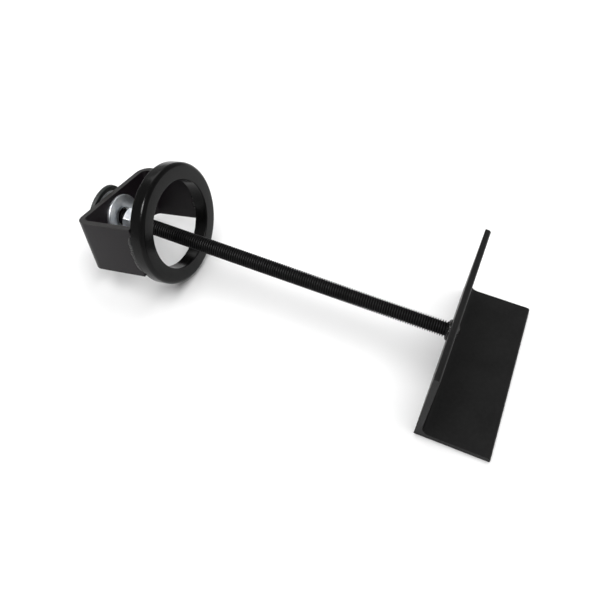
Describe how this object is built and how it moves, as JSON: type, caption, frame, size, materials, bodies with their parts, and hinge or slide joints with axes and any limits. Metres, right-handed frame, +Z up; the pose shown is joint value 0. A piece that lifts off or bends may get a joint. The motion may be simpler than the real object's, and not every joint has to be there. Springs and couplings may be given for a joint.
{
  "type": "spool holder stand",
  "caption": "Clamp-style spool holder: threaded rod welded to an angle-iron foot, with a thick ring on a loose U bracket held by washers and nuts.",
  "frame": {"origin": "centre of the foot's underside, on the floor", "axes": "+X along the rod from the ring to the foot, +Z up"},
  "size_m": [0.3749, 0.149, 0.0988],
  "materials": {
    "black_paint": "satin black paint over rolled and bent steel",
    "black_rod": "black paint over cut threads, semi-gloss",
    "zinc": "bright zinc plate"
  },
  "bodies": {
    "foot": {"foot_angle": "black_paint", "threaded_rod": "black_rod", "rod_outer_weld": "black_paint", "rod_inner_weld": "black_paint"},
    "clamp_slide": {"outer_washer": "zinc"},
    "outer_nut": {"outer_nut": "zinc"},
    "inner_nut": {"inner_nut": "zinc"},
    "tilt_washer": {"inner_washer": "zinc"},
    "bracket": {"bracket": "black_paint", "clamp_ring": "black_paint", "near_leg_outer_weld": "black_paint", "near_leg_inner_weld": "black_paint", "far_leg_outer_weld": "black_paint", "far_leg_inner_weld": "black_paint"}
  },
  "joints": [
    {"name": "clamp_travel", "type": "slide", "parent": "foot", "child": "clamp_slide", "axis": [1, 0, 0], "range_m": [0, 0.2]},
    {"name": "outer_nut_spin", "type": "hinge", "parent": "clamp_slide", "child": "outer_nut", "pos_m": [-0.337, 0, 0.0352], "axis": [1, 0, 0], "range_deg": [0, 36851.4]},
    {"name": "inner_nut_spin", "type": "hinge", "parent": "clamp_slide", "child": "inner_nut", "pos_m": [-0.309, 0, 0.0352], "axis": [1, 0, 0], "range_deg": [0, 36851.4]},
    {"name": "bracket_tilt", "type": "hinge", "parent": "clamp_slide", "child": "tilt_washer", "pos_m": [-0.319, 0, 0.0352], "axis": [0, 1, 0], "range_deg": [0, 29.8]},
    {"name": "bracket_swivel", "type": "hinge", "parent": "tilt_washer", "child": "bracket", "pos_m": [-0.319, 0, 0.0352], "axis": [0.9664, 0, 0.2571], "continuous": true}
  ],
  "couplings": [
    {"joint": "outer_nut_spin", "follows": "clamp_travel", "rad_per_m": 3215.8},
    {"joint": "inner_nut_spin", "follows": "clamp_travel", "rad_per_m": 3215.8}
  ]
}
